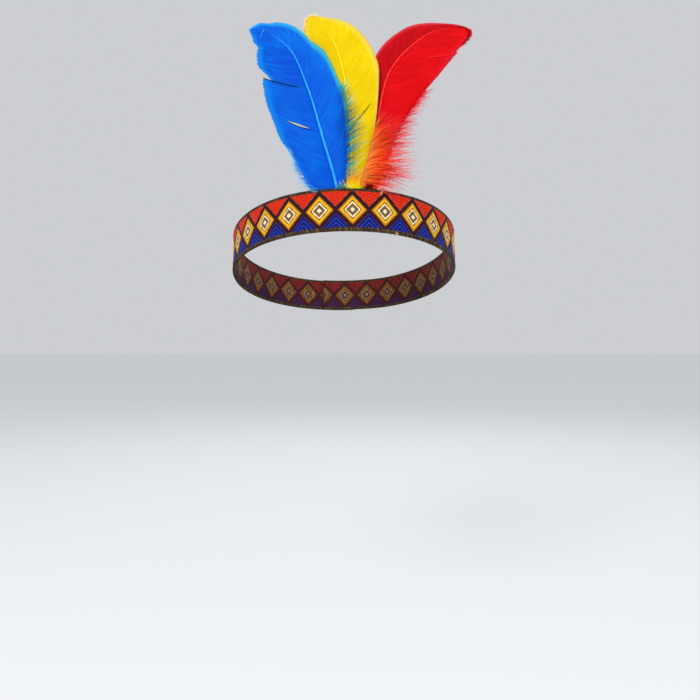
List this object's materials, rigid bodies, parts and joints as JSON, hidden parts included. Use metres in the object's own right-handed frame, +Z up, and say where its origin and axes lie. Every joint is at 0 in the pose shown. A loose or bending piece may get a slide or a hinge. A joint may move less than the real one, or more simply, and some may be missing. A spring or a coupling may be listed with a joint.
{
  "type": "feathered headdress",
  "caption": "Woven ribbon headband with a diamond pattern and dyed feathers whose quills are tucked behind its front, held in the form it has when worn.",
  "frame": {"origin": "middle of the loop that the head goes through, halfway up the ribbon", "axes": "+Z up as worn, -Y the way the wearer faces, +X to the wearer's left; the loop is tipped back 10 degrees, its front higher"},
  "size_m": [0.155, 0.1904, 0.1752],
  "materials": {
    "woven_ribbon": "woven trim with raised figures, matt with a slight sheen",
    "blue_vane": "dyed feather, fine barbs with a soft sheen",
    "blue_shaft": "dyed feather shaft, smooth and satin",
    "yellow_vane": "dyed feather, fine barbs with a soft sheen",
    "yellow_shaft": "dyed feather shaft, smooth and satin",
    "red_vane": "dyed feather, fine barbs with a soft sheen",
    "red_shaft": "dyed feather shaft, smooth and satin",
    "red_down": "loose downy barbs, orange to pink"
  },
  "bodies": {
    "root": {"band": "woven_ribbon", "blue_shaft": "blue_shaft", "blue_vane_left": "blue_vane", "blue_vane_right": "blue_vane", "yellow_shaft": "yellow_shaft", "yellow_vane_left": "yellow_vane", "yellow_vane_right": "yellow_vane", "red_shaft": "red_shaft", "red_vane_left": "red_vane", "red_vane_right": "red_vane", "red_down": "red_down"}
  },
  "joints": []
}
